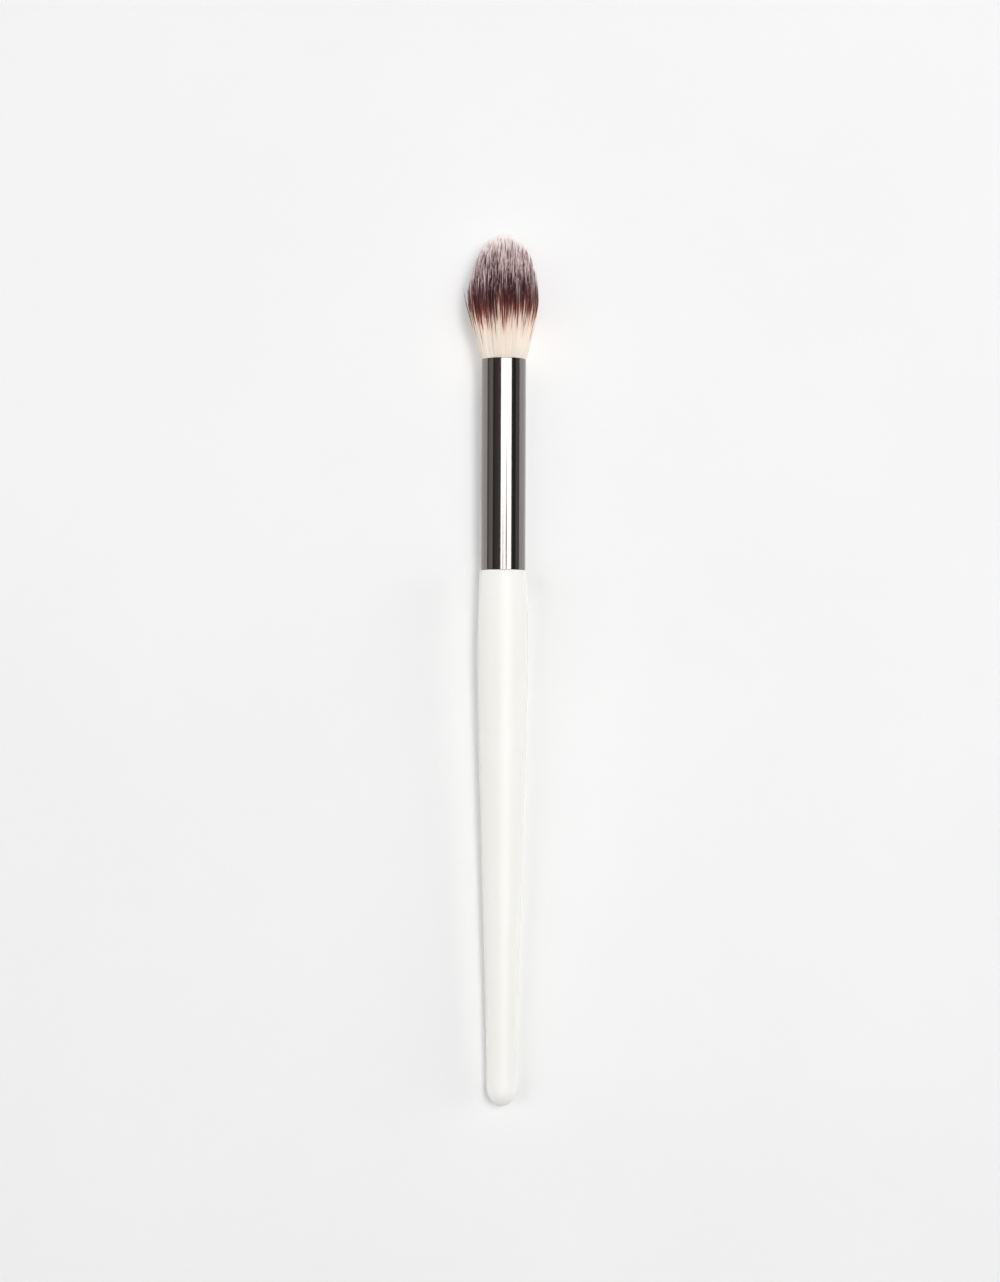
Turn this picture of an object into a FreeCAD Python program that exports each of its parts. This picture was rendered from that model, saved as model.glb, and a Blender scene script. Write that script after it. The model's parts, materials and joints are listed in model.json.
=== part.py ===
import FreeCAD, Part
import math
import os

# A round eyeshadow brush, lying on a table. All lengths are in millimetres.
# Each piece is an outline of radius against length, turned about the brush's own axis, which runs
# along +Y from the tail of the handle (y = 0) to the bristle tips. The finished brush is laid on the
# table at z = 0, with the middle of its footprint at the origin and the bristles towards +Y.

# Ferrule: a straight drawn tube with a plain mouth
ferrule_dia = 8.74
ferrule_length = 41.2
ferrule_wall = 0.35
ferrule_edge_round = 0.12

# Handle: turned wood under a coat of lacquer, with a shoulder that butts on the ferrule
handle_length = 104.8
belly_dia = 9.94
belly_from_shoulder = 17.5
tail_dia = 5.8
lacquer_thickness = 0.18
wood_step = 0.13
shoulder_curve_share = 0.38
belly_front_share = 0.4
belly_back_share = 0.14
tail_curve_share = 0.16

# Tenon: the front of the wood, glued into the back of the ferrule
glue_film = 0.1
tenon_chamfer = 0.5
groove_count = 3
groove_depth = 0.25
groove_width = 0.9

# Bristle tuft: fills the mouth of the ferrule, swells out to its widest place and closes in a dome
tuft_length = 24.0
tuft_dia = 13.9
tuft_widest_height = 12.4
flare_out_share = 0.42
flare_up_share = 0.15
flare_top_share = 0.2
dome_side_share = 0.2
dome_tip_share = 0.6

# Knot: the bristle roots inside the ferrule, drawn in, bound with thread and cast in epoxy
mouth_fill_depth = 8.0
draw_in_length = 1.8
tie_dia = 6.6
tie_margin = 1.0
thread_dia = 0.3
thread_turns = 6
epoxy_start_share = 0.5
epoxy_behind_roots = 4.0
air_gap = 7.5

# Half sizes, and places along the axis
ferrule_r = ferrule_dia / 2
bore_r = ferrule_r - ferrule_wall
tail_r = tail_dia / 2
tuft_r = tuft_dia / 2
tie_r = tie_dia / 2
tenon_r = bore_r - glue_film
shoulder_step = wood_step + lacquer_thickness

mouth_y = handle_length + ferrule_length
tip_y = mouth_y + tuft_length
drawn_in_y = mouth_y - mouth_fill_depth - draw_in_length
thread_front_y = drawn_in_y - tie_margin
thread_back_y = thread_front_y - thread_turns * thread_dia
root_y = thread_back_y - tie_margin
epoxy_front_y = mouth_y - mouth_fill_depth - epoxy_start_share * draw_in_length
epoxy_back_y = root_y - epoxy_behind_roots
tenon_end_y = epoxy_back_y - air_gap
tenon_length = tenon_end_y - handle_length

AXIS_START = FreeCAD.Vector(0, 0, 0)
AXIS = FreeCAD.Vector(0, 1, 0)
SIDEWAYS = FreeCAD.Vector(1, 0, 0)
CURVE_SAMPLES = 400


def at(radius, y):
    return FreeCAD.Vector(radius, y, 0)


def line(start, end):
    return Part.makeLine(start, end)


def lines(*points):
    return [line(start, end) for start, end in zip(points, points[1:])]


def curve(*poles):
    bezier = Part.BezierCurve()
    bezier.setPoles(list(poles))
    return bezier.toShape()


def level_curve(start, start_share, end, end_share):
    """A curve that leaves and arrives along the axis. Each share says how far it stays level."""
    reach = end.y - start.y
    first = at(start.x, start.y + start_share * reach)
    second = at(end.x, end.y - end_share * reach)
    return curve(start, first, second, end)


def quarter_round(start, centre, end):
    """A quarter circle about its centre, from one point to another."""
    radius = start.distanceToPoint(centre)
    outward = (start - centre) + (end - centre)
    middle = centre + outward.normalize() * radius
    return Part.Arc(start, middle, end).toShape()


def turned(edges):
    """The solid that an outline makes when it is turned about the axis."""
    return Part.Face(Part.Wire(edges)).revolve(AXIS_START, AXIS, 360)


def sleeve(inner, outer, start_y, end_y):
    corners = [at(inner, start_y), at(outer, start_y), at(outer, end_y), at(inner, end_y)]
    return turned(lines(*corners, corners[0]))


def rod(radius, start_y, end_y):
    return sleeve(0, radius, start_y, end_y)


def handle_outline(inset):
    """Edges from the tail to the flat of the shoulder, for the coat's outside or, set in, for the wood."""
    dome_centre = at(0, tail_r)
    tail = at(0, inset)
    dome_rim = at(tail_r - inset, tail_r)
    belly = at(belly_dia / 2 - inset, handle_length - belly_from_shoulder)
    edge_round = shoulder_step - inset
    edge_centre = at(ferrule_r, handle_length - shoulder_step)
    edge_side = edge_centre + at(edge_round, 0)
    edge_face = edge_centre + at(0, edge_round)
    return [
        quarter_round(tail, dome_centre, dome_rim),
        level_curve(dome_rim, tail_curve_share, belly, belly_back_share),
        level_curve(belly, belly_front_share, edge_side, shoulder_curve_share),
        quarter_round(edge_side, edge_centre, edge_face),
    ]


def make_handle_core():
    """Wooden handle, set in from the lacquer's outside, with its tenon and the tenon's glue grooves."""
    shoulder_y = handle_length - lacquer_thickness
    tenon_edges = lines(
        at(ferrule_r, shoulder_y),
        at(tenon_r, shoulder_y),
        at(tenon_r, tenon_end_y - tenon_chamfer),
        at(tenon_r - tenon_chamfer, tenon_end_y),
        at(0, tenon_end_y),
        at(0, lacquer_thickness),
    )
    core = turned(handle_outline(lacquer_thickness) + tenon_edges)
    groove_pitch = tenon_length / (groove_count + 1)
    for number in range(groove_count):
        middle = handle_length + (number + 1) * groove_pitch
        start = middle - groove_width / 2
        core = core.cut(sleeve(tenon_r - groove_depth, bore_r, start, start + groove_width))
    return core


def make_handle_lacquer(core):
    """Coat over the whole handle, closed over the shoulder and open only where the tenon comes out."""
    back_to_tail = lines(at(ferrule_r, handle_length), at(0, handle_length), at(0, 0))
    return turned(handle_outline(0) + back_to_tail).cut(core)


def make_tenon_glue(core):
    """Film round the tenon, from the shoulder to the chamfer, which also fills the grooves."""
    return rod(bore_r, handle_length, tenon_end_y - tenon_chamfer).cut(core)


def make_ferrule():
    """Tube with its outer edges eased at both ends."""
    eased = ferrule_edge_round
    back_centre = at(ferrule_r - eased, handle_length + eased)
    front_centre = at(ferrule_r - eased, mouth_y - eased)
    back_face = back_centre - at(0, eased)
    front_face = front_centre + at(0, eased)
    back_side = back_centre + at(eased, 0)
    front_side = front_centre + at(eased, 0)
    edges = lines(front_face, at(bore_r, mouth_y), at(bore_r, handle_length), back_face)
    edges.append(quarter_round(back_face, back_centre, back_side))
    edges.append(line(back_side, front_side))
    edges.append(quarter_round(front_side, front_centre, front_face))
    return turned(edges)


def make_bristle_tuft():
    """Bundle of bristles as one closed form: tied roots, the part that fills the mouth, and the head."""
    mouth = at(bore_r, mouth_y)
    widest = at(tuft_r, mouth_y + tuft_widest_height)
    tip = at(0, tip_y)
    root_edges = lines(
        tip,
        at(0, root_y),
        at(tie_r, root_y),
        at(tie_r, drawn_in_y),
        at(bore_r, mouth_y - mouth_fill_depth),
        mouth,
    )
    flare_start = mouth + at(flare_out_share * (tuft_r - bore_r), flare_up_share * tuft_widest_height)
    flare_end = widest - at(0, flare_top_share * tuft_widest_height)
    dome_start = widest + at(0, dome_side_share * (tip_y - widest.y))
    dome_end = tip + at(dome_tip_share * tuft_r, 0)
    head_edges = [
        curve(mouth, flare_start, flare_end, widest),
        curve(widest, dome_start, dome_end, tip),
    ]
    return turned(root_edges + head_edges)


def make_knot_thread():
    """Binding round the roots: turns lying side by side, flat on the bristles and round outside."""
    thread_r = thread_dia / 2
    crest_r = tie_r + thread_r
    edges = lines(at(crest_r, thread_front_y), at(tie_r, thread_front_y))
    edges += lines(at(tie_r, thread_front_y), at(tie_r, thread_back_y), at(crest_r, thread_back_y))
    for turn in range(thread_turns):
        start_y = thread_back_y + turn * thread_dia
        start = at(crest_r, start_y)
        crest = at(crest_r + thread_r, start_y + thread_r)
        end = at(crest_r, start_y + thread_dia)
        edges.append(Part.Arc(start, crest, end).toShape())
    return turned(edges)


def make_knot_epoxy(tuft, thread):
    """Plug cast in the bore, round the tied roots and behind them."""
    return rod(bore_r, epoxy_back_y, epoxy_front_y).cut(tuft).cut(thread)


def rest_tilt():
    """Angle by which the head is raised when the rounded tail and the widest rigid place both touch
    the table."""
    touching = [at(ferrule_r, handle_length), at(ferrule_r, mouth_y)]
    for edge in handle_outline(0):
        touching += edge.discretize(CURVE_SAMPLES)
    tilts = []
    for point in touching:
        ahead = point.y - tail_r
        if ahead > 0:
            distance = math.hypot(point.x, ahead)
            tilts.append(math.acos(min(1, tail_r / distance)) - math.atan2(ahead, point.x))
    return math.degrees(max(tilts))


def lay_on_table(pieces, tilt):
    """Tilts every piece about the middle of the tail's dome, then sets the brush on the table."""
    tail_centre = at(0, tail_r)
    for piece in pieces.values():
        piece.rotate(tail_centre, SIDEWAYS, tilt)
        piece.translate(FreeCAD.Vector(0, 0, tail_r))
    pieces["bristle_tuft"] = above_table(pieces["bristle_tuft"])
    box = Part.makeCompound(list(pieces.values())).optimalBoundingBox(False, False)
    to_middle = FreeCAD.Vector(-box.Center.x, -box.Center.y, 0)
    for piece in pieces.values():
        piece.translate(to_middle)
    return to_middle


def above_table(piece):
    """The soft bristles flatten a little where they lie on the table, so the form is cut off there."""
    box = piece.BoundBox
    side = box.DiagonalLength
    corner = FreeCAD.Vector(box.Center.x - side / 2, box.Center.y - side / 2, -side)
    return piece.cut(Part.makeBox(side, side, side, corner))


def placed(point, tilt, to_middle):
    """Where a point on the axis of the straight brush lies once the brush is on the table."""
    turn = FreeCAD.Rotation(SIDEWAYS, tilt)
    tail_centre = at(0, tail_r)
    return turn.multVec(point - tail_centre) + tail_centre + FreeCAD.Vector(0, 0, tail_r) + to_middle


core = make_handle_core()
tuft = make_bristle_tuft()
thread = make_knot_thread()
pieces = {
    "handle_core": core,
    "handle_lacquer": make_handle_lacquer(core),
    "ferrule": make_ferrule(),
    "tenon_glue": make_tenon_glue(core),
    "bristle_tuft": tuft,
    "knot_thread": thread,
    "knot_epoxy": make_knot_epoxy(tuft, thread),
}
tilt = rest_tilt()
to_middle = lay_on_table(pieces, tilt)

os.makedirs("parts", exist_ok=True)
for name, piece in pieces.items():
    piece.exportStep(f"parts/{name}.step")
    print(f"{name}: {len(piece.Solids)} solid, {piece.Volume:.2f} mm3, valid {piece.isValid()}")

ferrule_middle = placed(at(0, handle_length + ferrule_length / 2), tilt, to_middle)
print(f"tilt {tilt:.3f} degrees, tenon {tenon_length:.2f} mm")
print(f"middle of the ferrule: y {ferrule_middle.y:.3f}, z {ferrule_middle.z:.3f}")
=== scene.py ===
# %% [markdown]
# An eyeshadow brush, dressed in Blender
#
# The construction model of the brush is loaded as a fixed frame: a wooden handle under white lacquer, a
# gunmetal ferrule, and a tuft of bristles tied and cast into the ferrule's mouth. This lesson gives each
# of them its looks. Everything is in metres and stays where the frame has it.

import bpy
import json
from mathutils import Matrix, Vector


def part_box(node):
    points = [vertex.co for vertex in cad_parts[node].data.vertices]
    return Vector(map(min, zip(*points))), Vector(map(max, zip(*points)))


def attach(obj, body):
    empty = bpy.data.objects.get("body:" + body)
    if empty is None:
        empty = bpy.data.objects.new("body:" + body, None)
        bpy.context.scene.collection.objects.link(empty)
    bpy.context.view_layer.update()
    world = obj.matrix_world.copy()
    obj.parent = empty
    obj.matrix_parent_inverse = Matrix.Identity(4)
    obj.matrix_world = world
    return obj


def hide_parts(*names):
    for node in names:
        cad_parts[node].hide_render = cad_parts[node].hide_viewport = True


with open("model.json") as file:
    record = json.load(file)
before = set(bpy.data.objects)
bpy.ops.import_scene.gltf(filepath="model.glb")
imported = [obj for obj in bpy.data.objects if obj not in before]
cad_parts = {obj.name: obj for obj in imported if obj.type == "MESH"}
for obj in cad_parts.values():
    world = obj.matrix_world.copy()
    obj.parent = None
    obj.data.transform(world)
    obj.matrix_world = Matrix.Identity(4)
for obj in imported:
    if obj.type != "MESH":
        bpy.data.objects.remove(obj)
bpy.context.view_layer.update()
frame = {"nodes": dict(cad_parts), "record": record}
print("frame:", ", ".join(sorted(frame["nodes"])))

# %% [markdown]
# The brush lies at a slight slope, because its belly is thicker than its tail. All its pieces are round
# about one sloping axis, so the first step is to find that axis. The record gives it: the ferrule is a
# mount, with its middle and its direction. Sizes across the brush are read from the frame's boxes, and
# the sizes along it are named here, in millimetres.

# %% The axis and the main sizes
import json
import math

import bpy
import numpy as np
from mathutils import Vector

MM = 0.001
ferrule_length = 41.2 * MM
ferrule_edge = 0.06 * MM
handle_length = 104.8 * MM

grip = next(mount for mount in frame["record"]["mounts"] if mount["name"] == "ferrule_grip")
axis = Vector(grip["axis"]).normalized()
across = Vector((1, 0, 0))
upward = across.cross(axis)
mouth = Vector(grip["pos_m"]) + axis * ferrule_length / 2


def half_width(node):
    low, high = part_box(node)
    return (high.x - low.x) / 2


ferrule_radius = half_width("ferrule")
bore_radius = half_width("tenon_glue")
belly_radius = half_width("handle_lacquer")
lacquer = belly_radius - half_width("handle_core")
tuft_radius = half_width("bristle_tuft")
print("ferrule radius", round(ferrule_radius / MM, 3), "mm, lacquer", round(lacquer / MM, 3), "mm")


def spot(radius, height):
    """A point beside the axis. Its height counts from the ferrule's mouth towards the bristle tips."""
    return mouth + axis * height + across * radius


# %% [markdown]
# Two small helpers serve every material. Colours are written as sRGB hex values, as a paint chart gives
# them, and Blender wants linear light, so one function converts them. The other adds a node, fills in its
# settings and joins its links, so that a material reads from top to bottom as its node tree would.

# %% Helpers for materials
def linear(hex_colour):
    channels = [int(hex_colour[place:place + 2], 16) / 255 for place in (1, 3, 5)]
    return [c / 12.92 if c <= 0.04045 else ((c + 0.055) / 1.055) ** 2.4 for c in channels] + [1.0]


def add_node(tree, kind, values=(), links=(), **settings):
    """Add a node. Settings are its own options, values fill its sockets and links lead into them."""
    node = tree.nodes.new(kind)
    for name, value in settings.items():
        setattr(node, name, value)
    for socket, value in dict(values).items():
        node.inputs[socket].default_value = value
    for socket, source in dict(links).items():
        tree.links.new(source, node.inputs[socket])
    return node


def new_material(name):
    """An empty node material, and the node that its finished surface is linked to."""
    material = bpy.data.materials.new(name)
    material.use_nodes = True
    material.node_tree.nodes.clear()
    return material, material.node_tree, add_node(material.node_tree, "ShaderNodeOutputMaterial")


def set_stops(ramp_node, stops):
    """Give a colour ramp its stops, each a place from 0 to 1 and a colour."""
    elements = ramp_node.color_ramp.elements
    while len(elements) > 1:
        elements.remove(elements[-1])
    for number, (place, colour) in enumerate(stops):
        element = elements[0] if number == 0 else elements.new(place)
        element.position = place
        element.color = colour


# %% [markdown]
# The photograph looks almost straight down. The two ends of the ferrule show as shallow arcs of
# different depth, which gives the camera's height: about 45 cm above the table, over the middle of the
# brush, and tipped a little towards the bristles.

# %% Camera
image_height = 1282
focal_pixels = 2273
camera_place = (-0.5 * MM, -6.1 * MM, 450 * MM)
camera_tip, camera_roll = math.radians(1.55), math.radians(0.2)

bpy.ops.object.camera_add(location=camera_place, rotation=(camera_tip, 0, camera_roll))
camera = bpy.context.active_object
camera.name = "overhead_camera"
camera.data.lens = camera.data.sensor_width * focal_pixels / image_height
camera.data.clip_start = 10 * MM
bpy.context.scene.camera = camera
print("lens", round(camera.data.lens, 1), "mm")

# %% [markdown]
# The table is a plain pale sheet. It is one plane, wider than the view, with a diffuse finish whose tone
# wanders a little, as paper's does, so that the brush's soft shadow has something real to fall on.

# %% Table
table_size = 1.2
paper_cloud = 60 * MM

paper, tree, output = new_material("matt_white_paper")
place = add_node(tree, "ShaderNodeTexCoord")
cloud = add_node(tree, "ShaderNodeTexNoise", {"Scale": 1 / paper_cloud, "Detail": 3.0},
                 {"Vector": place.outputs["Object"]})
tone = add_node(tree, "ShaderNodeValToRGB", links={"Fac": cloud.outputs["Fac"]})
set_stops(tone, [(0.3, linear("#f4f4f4")), (0.7, linear("#f6f6f6"))])
surface = add_node(tree, "ShaderNodeBsdfPrincipled", {"Roughness": 0.9, "Specular IOR Level": 0.1},
                   {"Base Color": tone.outputs["Color"]})
tree.links.new(surface.outputs["BSDF"], output.inputs["Surface"])

bpy.ops.object.select_all(action="DESELECT")
bpy.ops.mesh.primitive_plane_add(size=table_size)
table = bpy.context.active_object
table.name = "table"
table.data.materials.append(paper)

# %% [markdown]
# The main light is a softbox above and to the right. On the polished ferrule it shows as the bright
# stripe, so the stripe's edges give its place: it reaches from about 12 degrees left of straight up to
# about 41 degrees right. The narrow shadow to the left of the brush says that most of its light comes
# from its middle. So the softbox is there for reflections alone, and two narrower key lamps inside it
# light the brush. Larger lamps, farther off, fill the sides. White lacquer throws so much light on the
# table beside it that the handle would stand in a bright haze, so two of the fills cast the shadow of the
# handle alone, which takes the haze back. One fill casts every shadow, and one casts none at all.

# %% Softbox and fill
softbox_distance = 0.9
softbox_left, softbox_right = math.radians(-12.5), math.radians(41)
softbox_tail, softbox_head = math.radians(-20), math.radians(13)
softbox_power = 6.8
key_lamps = {
    "key_core": (math.radians(6), math.radians(18), 2.9),
    "key_wide": (math.radians(-2), math.radians(34), 1.6),
}
key_along = 0.15
fill_distance, fill_size = 2.0, 1.6
handle_alone = bpy.data.collections.new("handle_alone")
fill_lamps = {
    "fill_high": (math.radians(-28), 5.0, None),
    "fill_side": (math.radians(-45), 13.6, handle_alone),
    "fill_left": (math.radians(-55), 4.6, "none"),
    "fill_right": (math.radians(75), 17.6, handle_alone),
}


def add_lamp(name, lean, distance, along, size, power):
    """An area lamp that leans from straight above and faces the brush. Sizes are across and along it."""
    place = (distance * math.sin(lean), along, distance * math.cos(lean))
    bpy.ops.object.light_add(type="AREA", location=place, rotation=(0, lean, 0))
    lamp = bpy.context.active_object
    lamp.name = name
    lamp.data.shape = "RECTANGLE"
    lamp.data.size, lamp.data.size_y = size
    lamp.data.energy = power
    lamp.visible_camera = False
    print(name, round(size[0], 2), "by", round(size[1], 2), "m,", power, "W")
    return lamp


ends = [softbox_distance * math.tan(angle) for angle in (softbox_tail, softbox_head)]


def add_softbox(name, left, right, power):
    """A lamp over the brush that reaches from one angle to another, counted from straight above."""
    width = 2 * softbox_distance * math.tan((right - left) / 2)
    size = (width, ends[1] - ends[0])
    return add_lamp(name, (left + right) / 2, softbox_distance, sum(ends) / 2, size, power)


softbox = add_softbox("softbox", softbox_left, softbox_right, softbox_power)
softbox.visible_diffuse = False
for name, (key_left, key_right, key_power) in key_lamps.items():
    key = add_softbox(name, key_left, key_right, key_power)
    key.location.y = key_along
    key.visible_glossy = False
for name, (fill_lean, fill_power, shadow_of) in fill_lamps.items():
    fill = add_lamp(name, fill_lean, fill_distance, 0, (fill_size, fill_size), fill_power)
    fill.visible_glossy = False
    fill.data.cycles.use_multiple_importance_sampling = shadow_of is None
    if shadow_of == "none":
        fill.data.use_shadow = False
    elif shadow_of is not None:
        fill.light_linking.blocker_collection = shadow_of

# %% [markdown]
# Near the handle the bright stripe on the ferrule is split by thin dark lines. They are the mirror images
# of slim things that reach in under the softbox: a boom arm to the right, and the camera's own arm
# straight above. A cone does for each, seen by reflections only. On the tube it narrows to a hair.

# %% Arms under the softbox
arm_distance, arm_start = 0.8, 20 * MM
arms = {
    "boom_arm": (math.radians(15.9), 100 * MM, 60 * MM),
    "camera_arm": (math.radians(-1), 65 * MM, 40 * MM),
}

arm_paint, tree, output = new_material("black_powder_coat")
place = add_node(tree, "ShaderNodeTexCoord")
grit = add_node(tree, "ShaderNodeTexNoise", {"Scale": 1 / MM}, {"Vector": place.outputs["Object"]})
matt = add_node(tree, "ShaderNodeMapRange", {"To Min": 0.6, "To Max": 0.8},
                {"Value": grit.outputs["Fac"]})
surface = add_node(tree, "ShaderNodeBsdfPrincipled", {"Base Color": linear("#2a2a2a")},
                   {"Roughness": matt.outputs["Result"]})
tree.links.new(surface.outputs["BSDF"], output.inputs["Surface"])

for name, (arm_lean, arm_end, arm_radius) in arms.items():
    arm_across, arm_up = arm_distance * math.sin(arm_lean), arm_distance * math.cos(arm_lean)
    arm_middle = (arm_across, (arm_start + arm_end) / 2, arm_up)
    bpy.ops.object.select_all(action="DESELECT")
    bpy.ops.mesh.primitive_cone_add(vertices=16, radius1=arm_radius, radius2=0, depth=arm_end - arm_start,
                                    location=arm_middle, rotation=(-math.pi / 2, 0, 0))
    arm = bpy.context.active_object
    arm.name = name
    arm.data.materials.append(arm_paint)
    arm.visible_camera = False
    arm.visible_diffuse = False
    arm.visible_shadow = False
    print(name, round((arm_end - arm_start) / MM), "mm long")

# %% [markdown]
# Polished metal is a picture of the room. The dark and grey bands beside the bright stripe are dim
# flags and grey walls on either side, so the world holds them as bands, by their angle from straight
# up, for reflections alone. To other light the room is an even soft grey, and seen directly it is plain
# and pale.

# %% Room
room_bands = {
    -180: "#909090", -92: "#909090", -91: "#303030", -87: "#707070", -75: "#a6a4a4", -58: "#aaa8a8",
    -54: "#484444", -40: "#625e5e", -15: "#767272", 42: "#565454", 60: "#3e3e40", 64: "#464648",
    69: "#808084", 88: "#807c7c", 90: "#909090",
}
room_light, room_seen = "#484848", "#f6f6f6"

room = bpy.data.worlds.new("studio_room")
bpy.context.scene.world = room
room.use_nodes = True
tree = room.node_tree
tree.nodes.clear()
direction = add_node(tree, "ShaderNodeTexCoord")
parts = add_node(tree, "ShaderNodeSeparateXYZ", links={"Vector": direction.outputs["Generated"]})
angle = add_node(tree, "ShaderNodeMath", links={0: parts.outputs["X"], 1: parts.outputs["Z"]},
                 operation="ARCTAN2")
turn = add_node(tree, "ShaderNodeMapRange", {"From Min": -math.pi, "From Max": math.pi},
                {"Value": angle.outputs["Value"]})
bands = add_node(tree, "ShaderNodeValToRGB", links={"Fac": turn.outputs["Result"]})
set_stops(bands, [((degrees + 180) / 360, linear(colour)) for degrees, colour in room_bands.items()])
ray = add_node(tree, "ShaderNodeLightPath")
reflected = add_node(tree, "ShaderNodeMix", {"A": linear(room_light)},
                     {"Factor": ray.outputs["Is Glossy Ray"], "B": bands.outputs["Color"]},
                     data_type="RGBA")
seen = add_node(tree, "ShaderNodeMix", {"B": linear(room_seen)},
                {"Factor": ray.outputs["Is Camera Ray"], "A": reflected.outputs["Result"]},
                data_type="RGBA")
sky = add_node(tree, "ShaderNodeBackground", links={"Color": seen.outputs["Result"]})
add_node(tree, "ShaderNodeOutputWorld", links={"Surface": sky.outputs["Background"]})
bpy.context.scene.view_settings.view_transform = "Standard"
print("room bands", len(room_bands))

# %% [markdown]
# The handle, the ferrule and every other round piece could be carved from cylinders, but a turned piece
# is best made as a turner makes it: draw half of its outline and spin it about the axis. The outline is
# grown from a single point by extruding it along the drawing, and the spin closes it into a solid.

# %% Lathe
def curve_points(poles, count):
    """Points along a cubic curve from its four poles, each a radius and a height."""
    t = np.linspace(0, 1, count)[:, None]
    first, second, third, fourth = (np.array(pole) for pole in poles)
    points = ((1 - t) ** 3 * first + 3 * (1 - t) ** 2 * t * second
              + 3 * (1 - t) * t**2 * third + t**3 * fourth)
    return [tuple(point) for point in points]


def round_points(centre, out, up, start, end, count):
    """Points on a round about a centre, so far out and up. Its angles count from straight out."""
    angles = np.linspace(math.radians(start), math.radians(end), count)
    return [(centre[0] + out * math.cos(a), centre[1] + up * math.sin(a)) for a in angles]


weld_distance = 0.002 * MM
crease_angle = math.radians(35)


def lathe(name, outline, steps):
    """Grow an outline of radius and height from one point, and spin it about the brush's axis."""
    points = [spot(radius, height) for radius, height in outline]
    bpy.ops.object.select_all(action="DESELECT")
    bpy.ops.mesh.primitive_plane_add(size=MM, location=points[0])
    bpy.ops.object.mode_set(mode="EDIT")
    bpy.ops.mesh.merge(type="CENTER")
    for start, end in zip(points, points[1:]):
        bpy.ops.mesh.extrude_region_move(TRANSFORM_OT_translate={"value": end - start})
    bpy.ops.mesh.select_all(action="SELECT")
    bpy.ops.mesh.spin(steps=steps, angle=math.tau, center=mouth, axis=axis)
    bpy.ops.mesh.select_all(action="SELECT")
    bpy.ops.mesh.remove_doubles(threshold=weld_distance)
    bpy.ops.mesh.normals_make_consistent(inside=False)
    bpy.ops.object.mode_set(mode="OBJECT")
    bpy.ops.object.transform_apply(location=True)
    bpy.ops.object.shade_smooth_by_angle(angle=crease_angle)
    piece = bpy.context.active_object
    piece.name = name
    print(name, len(piece.data.polygons), "faces")
    return piece


# %% [markdown]
# The handle's coat is lacquer sprayed over turned wood. Its outline runs from the rounded tail along a
# long taper to the belly, and on to a shoulder with a softly rounded edge where the ferrule begins. The
# inside of the coat is the same outline set in by its thickness, so the piece is a thin closed shell.

# %% Handle coat
tail_radius, tail_dome = 2.9 * MM, 3.5 * MM
belly_from_shoulder = 17.5 * MM
tail_curve_share, belly_back_share = 0.16, 0.14
belly_front_share, shoulder_curve_share, shoulder_lean = 0.4, 0.25, 0.11 * MM
shoulder_step, shoulder_round = 0.22 * MM, 0.9 * MM
glue_film = 0.1 * MM
tail_points, taper_points, swell_points, edge_points = 24, 48, 16, 10
handle_steps = 96

tenon_radius = bore_radius - glue_film
shoulder_height = -ferrule_length
tail_height = shoulder_height - handle_length
belly_height = shoulder_height - belly_from_shoulder


def level_points(start, start_share, end, end_share, end_lean, count):
    """A curve that leaves along the axis and arrives along it, or from a little further out."""
    reach = end[1] - start[1]
    end_pole = (end[0] + end_lean, end[1] - end_share * reach)
    return curve_points([start, (start[0], start[1] + start_share * reach), end_pole, end], count)


def handle_outline(inset):
    dome_centre = (0, tail_height + tail_dome)
    dome = round_points(dome_centre, tail_radius - inset, tail_dome - inset, -90, 0, tail_points)
    belly = (belly_radius - inset, belly_height)
    edge_centre = (ferrule_radius, shoulder_height - shoulder_round)
    edge = round_points(edge_centre, shoulder_step - inset, shoulder_round - inset, 0, 90, edge_points)
    taper = level_points(dome[-1], tail_curve_share, belly, belly_back_share, 0, taper_points)
    swell = level_points(belly, belly_front_share, edge[0], shoulder_curve_share, shoulder_lean,
                         swell_points)
    face = [(tenon_radius, shoulder_height - inset)]
    return dome + taper[1:] + swell[1:] + edge[1:] + face


coat = lathe("handle_coat", handle_outline(0) + handle_outline(lacquer)[::-1], handle_steps)
handle_alone.objects.link(coat)
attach(coat, "root")
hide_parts("handle_lacquer")

# %% [markdown]
# White nitrocellulose lacquer, sprayed and polished: an even warm white with a clear gloss. Its surface
# isn't quite flat, because sprayed lacquer sets with a faint orange peel, which softens the edges of
# reflections. The waves of the peel are a millimetre or two across and only microns deep.

# %% White lacquer
peel_size = 1.6 * MM
peel_depth = 0.002 * MM
tint_size = 25 * MM

white_lacquer, tree, output = new_material("white_gloss_lacquer")
place = add_node(tree, "ShaderNodeTexCoord")
cloud = add_node(tree, "ShaderNodeTexNoise", {"Scale": 1 / tint_size, "Detail": 2.0},
                 {"Vector": place.outputs["Object"]})
tint = add_node(tree, "ShaderNodeValToRGB", links={"Fac": cloud.outputs["Fac"]})
set_stops(tint, [(0.35, linear("#f5f4ef")), (0.65, linear("#f7f6f2"))])
peel = add_node(tree, "ShaderNodeTexNoise", {"Scale": 1 / peel_size, "Detail": 2.0, "Roughness": 0.4},
                {"Vector": place.outputs["Object"]})
bump = add_node(tree, "ShaderNodeBump", {"Strength": 1.0, "Distance": peel_depth},
                {"Height": peel.outputs["Fac"]})
gloss = add_node(tree, "ShaderNodeMapRange", {"To Min": 0.14, "To Max": 0.2},
                 {"Value": cloud.outputs["Fac"]})
surface = add_node(tree, "ShaderNodeBsdfPrincipled", {"IOR": 1.5, "Specular IOR Level": 0.12},
                   {"Base Color": tint.outputs["Color"], "Roughness": gloss.outputs["Result"],
                    "Normal": bump.outputs["Normal"]})
tree.links.new(surface.outputs["BSDF"], output.inputs["Surface"])
coat.data.materials.append(white_lacquer)

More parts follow.
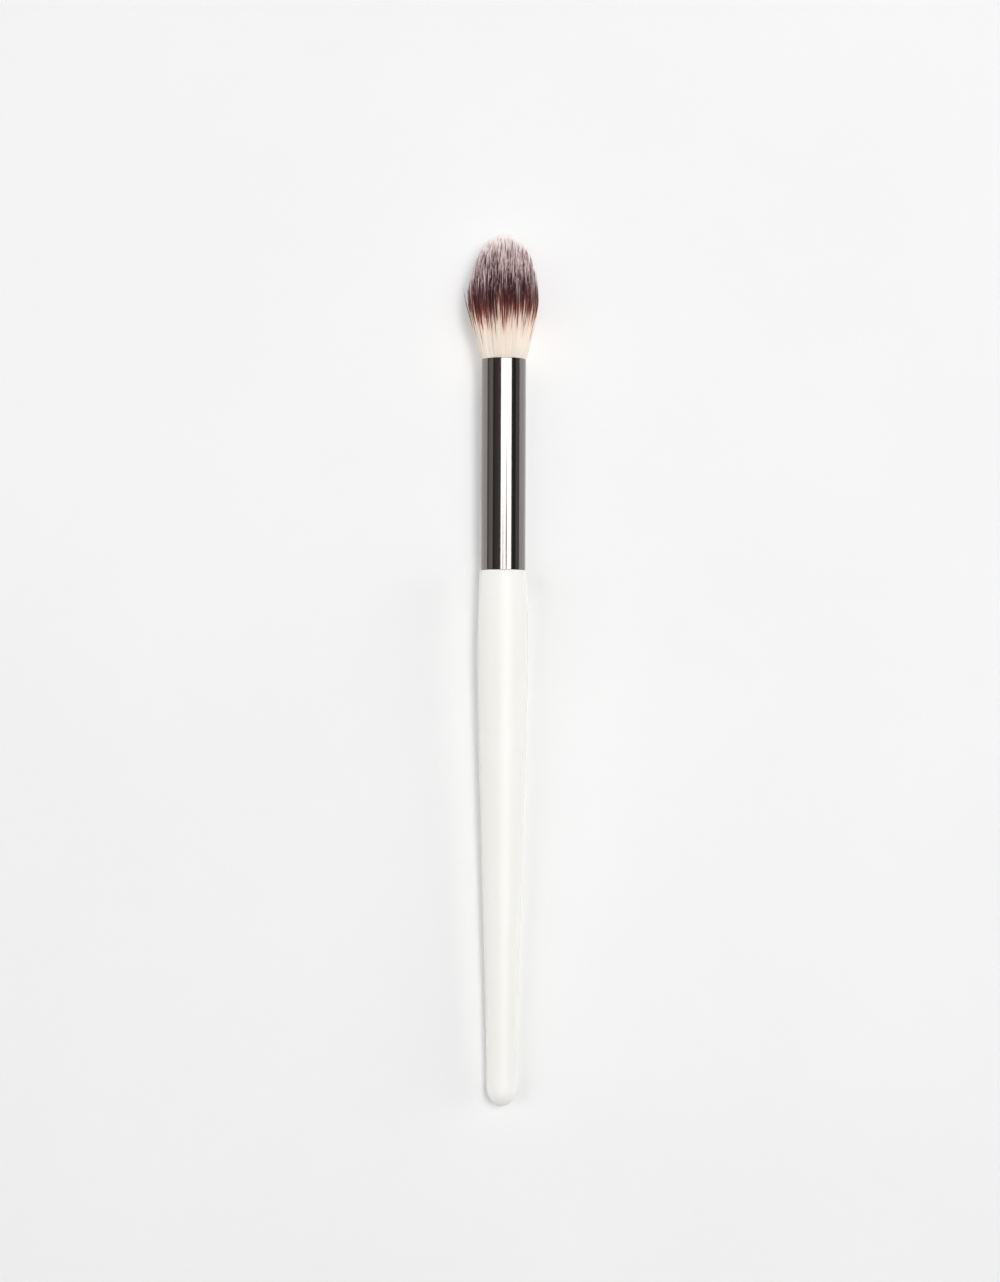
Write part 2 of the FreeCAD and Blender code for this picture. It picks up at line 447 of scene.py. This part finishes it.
# %% [markdown]
# The ferrule is a drawn aluminium tube, plated dark. It has a plain mouth and plain ends whose outer
# edges are just eased. The outline is a closed loop round the wall, so the spin gives a real tube with a
# bore. One extra ring beside each eased edge keeps the smooth shading of the long wall straight.

# %% Ferrule
ease_points, ferrule_steps = 6, 160

ease_radius = ferrule_radius - ferrule_edge
back_centre, front_centre = (ease_radius, shoulder_height + ferrule_edge), (ease_radius, -ferrule_edge)
back_ease = round_points(back_centre, ferrule_edge, ferrule_edge, -90, 0, ease_points)
front_ease = round_points(front_centre, ferrule_edge, ferrule_edge, 0, 90, ease_points)
support = 2 * ferrule_edge
wall = [(ferrule_radius, shoulder_height + support), (ferrule_radius, -support)]
bore = [(bore_radius, 0), (bore_radius, shoulder_height)]
tube = lathe("ferrule_tube", back_ease + wall + front_ease + bore + back_ease[:1], ferrule_steps)
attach(tube, "root")
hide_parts("ferrule")

# %% [markdown]
# Gunmetal plating on drawn aluminium: a dark, slightly warm metal with a mirror polish. Drawing and
# buffing leave very fine lines along the tube, far finer than a pixel, so they are drawn a tenth of a
# millimetre wide, and they only stir the gloss a little.

# %% Gunmetal
draw_line_width, draw_line_length = 0.12 * MM, 14 * MM

gunmetal, tree, output = new_material("polished_gunmetal_plating")
place = add_node(tree, "ShaderNodeTexCoord")
stretch = add_node(tree, "ShaderNodeMapping",
                   {"Scale": (1 / draw_line_width, 1 / draw_line_length, 1 / draw_line_width)},
                   {"Vector": place.outputs["Object"]})
drawn = add_node(tree, "ShaderNodeTexNoise", {"Scale": 1.0, "Detail": 3.0},
                 {"Vector": stretch.outputs["Vector"]})
polish = add_node(tree, "ShaderNodeMapRange", {"To Min": 0.04, "To Max": 0.14},
                  {"Value": drawn.outputs["Fac"]})
tone = add_node(tree, "ShaderNodeValToRGB", links={"Fac": drawn.outputs["Fac"]})
set_stops(tone, [(0.35, linear("#898281")), (0.65, linear("#8f8886"))])
surface = add_node(tree, "ShaderNodeBsdfPrincipled", {"Metallic": 1.0},
                   {"Base Color": tone.outputs["Color"], "Roughness": polish.outputs["Result"]})
tree.links.new(surface.outputs["BSDF"], output.inputs["Surface"])
tube.data.materials.append(gunmetal)

# %% [markdown]
# The tuft is a bundle of some thousands of synthetic bristles. One solid with a hairy picture on it would
# never have the soft edge or the depth of the real head, so every bristle is made. First comes the form
# that they fill: tied roots, the part inside the ferrule, a brim that swells over its rim, the flare and
# the dome.

# %% The head's outline
tuft_length = 24.0 * MM
widest_height = 12.4 * MM
flare_out_share, flare_up_share, flare_top_share = 0.42, 0.36, 0.27
brim_overhang, brim_height = 0.25 * MM, 0.45 * MM
dome_side_share, dome_tip_share = 0.28, 0.74
fill_depth, draw_in = 8.0 * MM, 1.8 * MM
tie_radius = 3.3 * MM
root_depth = 13.6 * MM
flare_points, dome_points = 60, 120

mouth_edge, widest, top = (bore_radius, 0.0), (tuft_radius, widest_height), (0.0, tuft_length)
brim = (ferrule_radius + brim_overhang, brim_height)
flare = curve_points([
    brim,
    (brim[0] + flare_out_share * (tuft_radius - brim[0]), flare_up_share * widest_height),
    (tuft_radius, widest_height * (1 - flare_top_share)),
    widest,
], flare_points)
dome = curve_points([
    widest,
    (tuft_radius, widest_height + dome_side_share * (tuft_length - widest_height)),
    (dome_tip_share * tuft_radius, tuft_length),
    top,
], dome_points)
roots = [(tie_radius, -root_depth), (tie_radius, -fill_depth - draw_in), (bore_radius, -fill_depth)]
form_radius, form_height = np.array(roots + [mouth_edge] + flare + dome[1:]).T


def form_at(height):
    return np.interp(height, form_height, form_radius)


# %% [markdown]
# Each bristle has a place in the bundle, given as a point in a disc of radius 1. They are spread like the
# seeds of a sunflower, which packs a disc evenly. Real bristles then cling together in small locks, and
# the gaps between locks give the head its streaks. So each bristle also belongs to the nearest of many
# lock centres, about three bristles to a lock, and leans towards it on its way up.

# %% Bristles and locks
bristle_count, lock_count = 6000, 1800
bristle_seed = 11
golden_angle = math.pi * (3 - math.sqrt(5))
root_wander, lock_wander = 0.004, 0.018
weakest_pull, strongest_pull = 0.6, 0.95
lock_lean_spread, bristle_lean_spread = 0.025, 0.012

chance = np.random.default_rng(bristle_seed)


def sunflower(count, wander):
    """Evenly spread points in a disc, each moved a little at random."""
    number = np.arange(count)
    reach = np.sqrt((number + 0.5) / count)
    turn = number * golden_angle
    spread = np.column_stack([reach * np.cos(turn), reach * np.sin(turn)])
    return spread + chance.normal(0, wander, (count, 2))


def within_disc(places):
    """The same points, with those outside the disc drawn back to its rim."""
    reach = np.linalg.norm(places, axis=1, keepdims=True)
    return places / np.maximum(reach, 1)


root_place = within_disc(sunflower(bristle_count, root_wander))
lock_place = within_disc(sunflower(lock_count, lock_wander))
lock_of = np.array([np.argmin(((lock_place - place) ** 2).sum(1)) for place in root_place])
lock_pull = chance.uniform(weakest_pull, strongest_pull, lock_count)[lock_of]
lock_lean = chance.normal(0, lock_lean_spread, (lock_count, 2))[lock_of]
bristle_lean = chance.normal(0, bristle_lean_spread, (bristle_count, 2))
print("bristles", bristle_count, "in", len(set(lock_of)), "locks")

# %% [markdown]
# A bristle rises with the flare and then follows the dome part of the way in, so the outer ones end on
# the dome's sides and the inner ones at its top. Where a bristle's line meets the dome, the bristle ends,
# give or take a little, which leaves the soft uneven edge of a real head.

# %% Where each bristle ends
gather_limit, gather_share = 2.6 * MM, 0.42
lock_tip_scatter, tip_scatter = 0.9 * MM, 0.8 * MM
tip_drop, overshoot_top, overshoot_side = 0.95 * MM, 0.6 * MM, 1.4 * MM
dome_samples = 300

dome_heights = np.linspace(widest_height, tuft_length, dome_samples)


def line_radius(height):
    """How far from the axis a bristle on the outside of the bundle runs."""
    inward = gather_limit * (1 - np.exp(-gather_share * (tuft_radius - form_at(height)) / gather_limit))
    return np.where(height > widest_height, tuft_radius - inward, form_at(height))


reach_at_tip = form_at(dome_heights) / line_radius(dome_heights)
tip_place = lock_place[lock_of] + (root_place - lock_place[lock_of]) * (1 - lock_pull[:, None])
tip_place = within_disc(tip_place + lock_lean + bristle_lean)
tip_reach = np.linalg.norm(tip_place, axis=1)
tip_height = np.interp(tip_reach, reach_at_tip[::-1], dome_heights[::-1])
tip_shift = chance.normal(0, lock_tip_scatter, lock_count)[lock_of]
tip_shift += chance.normal(0, tip_scatter, bristle_count)
most_overshoot = overshoot_top + (overshoot_side - overshoot_top) * tip_reach
tip_height += np.minimum(tip_shift - tip_drop, most_overshoot)
print("bristles end", round(tip_height.min() / MM, 1), "to", round(tip_height.max() / MM, 1), "mm up")

# %% [markdown]
# One bristle is modelled: a four-sided stick grown ring by ring from a small square, with its
# last ring drawn to a point. Every other bristle is a copy of it, with the rings moved onto its own line.
# The rings lie closest near the tip, where a bristle thins out and changes colour.

# %% One bristle
low_ring_shares = (0.0, 0.06, 0.35, 0.7)
rings_below_tip = np.array([6.0, 4.0, 2.4, 1.0, 0.15, 0.0]) * MM
ring_count = len(roots) + len(low_ring_shares) + len(rings_below_tip)

bpy.ops.object.select_all(action="DESELECT")
bpy.ops.mesh.primitive_circle_add(vertices=4, radius=1, fill_type="NGON")
bpy.ops.object.mode_set(mode="EDIT")
for ring in range(1, ring_count):
    bpy.ops.mesh.extrude_region_move(TRANSFORM_OT_translate={"value": (0, 0, 1)})
bpy.ops.mesh.merge(type="CENTER")
bpy.ops.mesh.select_all(action="SELECT")
bpy.ops.mesh.normals_make_consistent(inside=False)
bpy.ops.object.mode_set(mode="OBJECT")
pattern = bpy.context.active_object
pattern_points = np.array([vertex.co for vertex in pattern.data.vertices])
pattern_faces = [list(face.vertices) for face in pattern.data.polygons]
bpy.data.objects.remove(pattern)
pattern_ring = np.rint(pattern_points[:, 2]).astype(int)
pattern_turn = np.degrees(np.arctan2(pattern_points[:, 1], pattern_points[:, 0]))
pattern_side = np.rint(pattern_turn / 90).astype(int) % 4
print("one bristle:", len(pattern_points), "points,", len(pattern_faces), "faces")

# %% [markdown]
# Now each bristle's line is worked out ring by ring. Its place in the bundle drifts from where it leaves
# the ferrule to where it ends, and that place times the bundle's radius gives a point. The head lies on
# the table, so no bristle may dip below it. A few strays stand away from the rest, some loose ones lean
# out on the left, and the middle of the head bulges a little to that side.

# %% The bristles' lines
bristle_radius = 0.045 * MM
tip_radius_share = 0.35
taper_length = 5 * MM
drift_power, outward_power = 1.3, 3
stray_count, stray_reach, least_stray_share = 40, 0.08, 0.3
strays_from = 0.9
loose_place = np.array([-1, 0.1])
loose_reach = (0.17, 0.13, 0.1, 0.06)
head_lean = 0.15 * MM

root_heights = np.tile([height for radius, height in roots], (bristle_count, 1))
low_heights = np.outer(tip_height - rings_below_tip[0], low_ring_shares)
heights = np.hstack([root_heights, low_heights, tip_height[:, None] - rings_below_tip])
rise = np.clip(heights / tip_height[:, None], 0, 1)
drift = rise**drift_power

from_middle = np.linalg.norm(root_place, axis=1)
strays = chance.choice(np.flatnonzero(from_middle > strays_from), stray_count, replace=False)
outward = np.zeros((bristle_count, 2))
stray_share = chance.uniform(least_stray_share, 1, (stray_count, 1))
outward[strays] = root_place[strays] * stray_share * stray_reach
loose = np.argsort(((root_place - loose_place) ** 2).sum(1))[:len(loose_reach)]
outward[loose] = np.column_stack([-np.array(loose_reach), np.zeros(len(loose_reach))])
places = root_place[:, None] + (tip_place - root_place)[:, None] * drift[:, :, None]
places = places + outward[:, None] * (rise**outward_power)[:, :, None]

from_axis = places * (line_radius(heights) - bristle_radius)[:, :, None]
from_axis[:, :, 0] -= head_lean * np.sin(math.pi * np.clip(heights / tuft_length, 0, 1)) ** 2
lines = (np.array(mouth) + heights[:, :, None] * np.array(axis)
         + from_axis[:, :, :1] * np.array(across) + from_axis[:, :, 1:] * np.array(upward))
to_tip = tip_height[:, None] - heights
fullness = np.clip(to_tip / taper_length, 0, 1)
thickness = bristle_radius * (tip_radius_share + (1 - tip_radius_share) * fullness)
lines[:, :, 2] = np.maximum(lines[:, :, 2], thickness)

# %% [markdown]
# The bundle is built in three layers, so that no mesh grows too large: the heart, the middle and the
# outside. Four measures go with each point: its height on the dyed scale, its distance from the tip, and
# its bristle's shade and length of frosting, which the bristles of a lock mostly share. On a few bristles
# the dye has crept further towards the roots, and those that end at the very top have more frosting.

# %% Bristle layers
heart_reach, middle_reach = 0.577, 0.816
cell_margin = 0.1
dip_scatter, lock_dip_scatter = 0.8 * MM, 1.3 * MM
creep_share, creep_reach = 0.008, 3.2 * MM
shortest_frost, longest_frost = 0.6 * MM, 8.0 * MM
top_frost, top_frost_from = 0.8 * MM, 21.0 * MM
shade_lock_share, shade_power = 0.75, 2.4
frost_lock_share, frost_power = 0.85, 2.5


def partly_by_lock(lock_share):
    """A number from 0 to 1 for each bristle, part of which all the bristles of its lock share."""
    shared = chance.uniform(0, 1, lock_count)[lock_of] * lock_share
    return shared + chance.uniform(0, 1, bristle_count) * (1 - lock_share)


dip_shift = chance.normal(0, dip_scatter, bristle_count)
dip_shift += chance.normal(0, lock_dip_scatter, lock_count)[lock_of]
dip_shift += np.where(chance.uniform(0, 1, bristle_count) < creep_share, creep_reach, 0)
shade = partly_by_lock(shade_lock_share) ** shade_power
frost_draw = partly_by_lock(frost_lock_share) ** frost_power
frost = shortest_frost + frost_draw * (longest_frost - shortest_frost)
top_share = np.clip((tip_height - top_frost_from) / (tuft_length - top_frost_from), 0, 1)
frost += top_frost * top_share


def bristle_layer(name, members):
    """One mesh of many bristles, with the measures on its points and a bake map."""
    offsets = np.outer(pattern_points[:, 0], across) + np.outer(pattern_points[:, 1], upward)
    points = lines[members][:, pattern_ring] + thickness[members][:, pattern_ring, None] * offsets
    step = len(pattern_points)
    faces = [[corner + number * step for corner in face]
             for number in range(len(members)) for face in pattern_faces]
    mesh = bpy.data.meshes.new(name)
    mesh.from_pydata(points.reshape(-1, 3), [], faces)
    measures = {
        "dip": (heights + dip_shift[:, None])[members] / MM,
        "to_tip": to_tip[members] / MM,
        "shade": np.tile(shade[members][:, None], ring_count),
        "frost": np.tile(frost[members][:, None], ring_count) / MM,
    }
    for measure, values in measures.items():
        attribute = mesh.attributes.new(measure, "FLOAT", "POINT")
        attribute.data.foreach_set("value", values[:, pattern_ring].ravel().astype(np.float32))
    add_bake_map(mesh, len(members))
    mesh.shade_smooth()
    piece = bpy.data.objects.new(name, mesh)
    bpy.context.scene.collection.objects.link(piece)
    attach(piece, "root")
    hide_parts("bristle_tuft")
    mesh.calc_loop_triangles()
    print(name, len(members), "bristles,", len(mesh.loop_triangles), "triangles")
    return piece


def add_bake_map(mesh, count):
    """A map with a square of its own for each bristle: round the bristle sideways, along it upwards."""
    columns = math.ceil(math.sqrt(count))
    corner_uv = []
    for face in pattern_faces:
        sides = [pattern_side[corner] for corner in face]
        wraps = 0 in sides and 3 in sides
        for corner, side in zip(face, sides):
            turned = 4 if wraps and side == 0 else side
            corner_uv.append((turned / 4, pattern_ring[corner] / (ring_count - 1)))
    cell_uv = cell_margin + (1 - 2 * cell_margin) * np.array(corner_uv)
    numbers = np.arange(count)
    cells = np.column_stack([numbers % columns, numbers // columns])
    uv = (cells[:, None] + cell_uv[None]) / columns
    layer = mesh.uv_layers.new(name="OFBake")
    layer.uv.foreach_set("vector", uv.ravel().astype(np.float32))


layer_edges = {
    "bristles_heart": (0.0, heart_reach),
    "bristles_middle": (heart_reach, middle_reach),
    "bristles_outside": (middle_reach, math.inf),
}
layers = [bristle_layer(name, np.flatnonzero((from_middle >= low) & (from_middle < high)))
          for name, (low, high) in layer_edges.items()]

# %% [markdown]
# Dip-dyed polyester filament: undyed cream where it leaves the ferrule, then rust and dark brown where
# the head was dipped, and frosted pale where each bristle thins out to its tip. The dye line is by
# height, with each bristle taking it up a little differently. The frosting goes by the distance from the
# bristle's own tip, and it is stronger higher up the head. Smooth filament gives each bristle a soft
# sheen. Heights on the dyed scale are in millimetres.

# %% Bristle dye
dip_scale = 24.0
full_frost_share = 0.45
shade_from, shade_to = 8.5, 10.5
darkest_level, lightest_undyed, lightest_dyed = 0.92, 1.06, 6.0

filament, tree, output = new_material("dip_dyed_polyester_filament")
dip = add_node(tree, "ShaderNodeAttribute", attribute_name="dip")
along = add_node(tree, "ShaderNodeMapRange", {"From Max": dip_scale}, {"Value": dip.outputs["Fac"]})
dye = add_node(tree, "ShaderNodeValToRGB", links={"Fac": along.outputs["Result"]})
set_stops(dye, [
    (0.0 / dip_scale, linear("#f6efe5")),
    (7.0 / dip_scale, linear("#f4e6d9")),
    (7.9 / dip_scale, linear("#be7a5a")),
    (8.9 / dip_scale, linear("#743830")),
    (10.4 / dip_scale, linear("#341616")),
    (15.0 / dip_scale, linear("#2e161a")),
    (20.5 / dip_scale, linear("#3a2226")),
])
own_shade = add_node(tree, "ShaderNodeAttribute", attribute_name="shade")
lightest = add_node(tree, "ShaderNodeMapRange",
                    {"From Min": shade_from, "From Max": shade_to,
                     "To Min": lightest_undyed, "To Max": lightest_dyed},
                    {"Value": dip.outputs["Fac"]})
level = add_node(tree, "ShaderNodeMapRange", {"To Min": darkest_level},
                 {"Value": own_shade.outputs["Fac"], "To Max": lightest.outputs["Result"]})
varied = add_node(tree, "ShaderNodeHueSaturation", links={"Color": dye.outputs["Color"],
                                                          "Value": level.outputs["Result"]})
to_end = add_node(tree, "ShaderNodeAttribute", attribute_name="to_tip")
own_frost = add_node(tree, "ShaderNodeAttribute", attribute_name="frost")
full_frost = add_node(tree, "ShaderNodeMath", {1: full_frost_share}, {0: own_frost.outputs["Fac"]},
                      operation="MULTIPLY")
frost_share = add_node(tree, "ShaderNodeValToRGB", links={"Fac": along.outputs["Result"]})
set_stops(frost_share, [
    (9.5 / dip_scale, linear("#7c7c7c")),
    (16.0 / dip_scale, linear("#f4f4f4")),
    (20.5 / dip_scale, linear("#f4f4f4")),
    (22.4 / dip_scale, linear("#ffffff")),
])
frosted = add_node(tree, "ShaderNodeMapRange", links={"Value": to_end.outputs["Fac"],
                                                      "From Min": own_frost.outputs["Fac"],
                                                      "From Max": full_frost.outputs["Value"],
                                                      "To Max": frost_share.outputs["Color"]})
frost_tone = add_node(tree, "ShaderNodeValToRGB", links={"Fac": frosted.outputs["Result"]})
set_stops(frost_tone, [
    (0.0, linear("#9c7476")),
    (0.5, linear("#d0b0af")),
    (0.9, linear("#f6e2df")),
    (1.0, linear("#fffaf8")),
])
tipped = add_node(tree, "ShaderNodeMix", data_type="RGBA",
                  links={"Factor": frosted.outputs["Result"], "A": varied.outputs["Color"],
                         "B": frost_tone.outputs["Color"]})
surface = add_node(tree, "ShaderNodeBsdfPrincipled",
                   {"Roughness": 0.42, "IOR": 1.55, "Specular IOR Level": 0.18},
                   {"Base Color": tipped.outputs["Result"]})
tree.links.new(surface.outputs["BSDF"], output.inputs["Surface"])
for piece in layers:
    piece.data.materials.append(filament)

# %% [markdown]
# The pieces inside are hidden when the brush is whole, and they keep the shapes of the frame. They still
# get the finish that they have on the bench: turned birch with its grain along the handle, dried white
# glue, and amber epoxy. All three are a drifting tone with a fine unevenness, so one function makes
# them from the size of the drift, the colours, the gloss and the depth.

# %% Finishes inside the brush
def clouded_finish(name, drift_size, colours, gloss, depth, ior):
    """A material whose tone, gloss and height drift together, by a size across, along and up."""
    material, tree, output = new_material(name)
    place = add_node(tree, "ShaderNodeTexCoord")
    stretch = add_node(tree, "ShaderNodeMapping", {"Scale": [1 / size for size in drift_size]},
                       {"Vector": place.outputs["Object"]})
    drift = add_node(tree, "ShaderNodeTexNoise", {"Scale": 1.0, "Detail": 4.0},
                     {"Vector": stretch.outputs["Vector"]})
    tone = add_node(tree, "ShaderNodeValToRGB", links={"Fac": drift.outputs["Fac"]})
    set_stops(tone, [(0.3, linear(colours[0])), (0.7, linear(colours[1]))])
    polish = add_node(tree, "ShaderNodeMapRange", {"To Min": gloss[0], "To Max": gloss[1]},
                      {"Value": drift.outputs["Fac"]})
    bump = add_node(tree, "ShaderNodeBump", {"Distance": depth}, {"Height": drift.outputs["Fac"]})
    surface = add_node(tree, "ShaderNodeBsdfPrincipled", {"IOR": ior},
                       {"Base Color": tone.outputs["Color"], "Roughness": polish.outputs["Result"],
                        "Normal": bump.outputs["Normal"]})
    tree.links.new(surface.outputs["BSDF"], output.inputs["Surface"])
    return material


grain_width, grain_length = 0.8 * MM, 30 * MM
glue_ripple, epoxy_cloud = 0.7 * MM, 2.0 * MM
inside_finishes = {
    # Birch gives a pale, silky wood with narrow darker grain lines.
    "handle_core": clouded_finish("turned_birch", (grain_width, grain_length, grain_width),
                                  ("#c39a66", "#dcbd8f"), (0.5, 0.65), 0.02 * MM, 1.5),
    # Dried glue gives a creamy film with a low gloss and small ripples.
    "tenon_glue": clouded_finish("dried_white_wood_glue", (glue_ripple, glue_ripple, glue_ripple),
                                 ("#e2d6b4", "#eee6cd"), (0.3, 0.45), 0.03 * MM, 1.46),
    # Cast epoxy gives a glossy honey colour with darker clouds.
    "knot_epoxy": clouded_finish("cast_amber_epoxy", (epoxy_cloud, epoxy_cloud, epoxy_cloud),
                                 ("#a87c34", "#cfa95c"), (0.08, 0.2), 0.01 * MM, 1.55),
}

# %% [markdown]
# The thread that ties the bristles is twisted cotton. Its plies lie aslant to the winding, as fine
# ridges that a wave pattern gives, a quarter of a millimetre apart. Painted shade darkens the hollows
# between.

# %% Cotton thread
ply_spacing, ply_depth = 0.25 * MM, 0.03 * MM
waves_in_scale = 20

cotton, tree, output = new_material("twisted_cotton_thread")
place = add_node(tree, "ShaderNodeTexCoord")
plies = add_node(tree, "ShaderNodeTexWave",
                 {"Scale": math.tau / (waves_in_scale * ply_spacing), "Distortion": 0.6},
                 {"Vector": place.outputs["Object"]}, bands_direction="DIAGONAL")
# Painted shade: the colour follows the same waves as the bump and is darker in the hollows.
tone = add_node(tree, "ShaderNodeValToRGB", links={"Fac": plies.outputs["Fac"]})
set_stops(tone, [(0.0, linear("#c4b8a2")), (1.0, linear("#e9e2d3"))])
fuzz = add_node(tree, "ShaderNodeMapRange", {"To Min": 0.9, "To Max": 0.75},
                {"Value": plies.outputs["Fac"]})
bump = add_node(tree, "ShaderNodeBump", {"Distance": ply_depth}, {"Height": plies.outputs["Fac"]})
surface = add_node(tree, "ShaderNodeBsdfPrincipled", {"Sheen Weight": 0.2},
                   {"Base Color": tone.outputs["Color"], "Roughness": fuzz.outputs["Result"],
                    "Normal": bump.outputs["Normal"]})
tree.links.new(surface.outputs["BSDF"], output.inputs["Surface"])
inside_finishes["knot_thread"] = cotton

for node, finish in inside_finishes.items():
    hidden_piece = frame["nodes"][node]
    hidden_piece.data.materials.clear()
    hidden_piece.data.materials.append(finish)
    print(node, "in", finish.name)
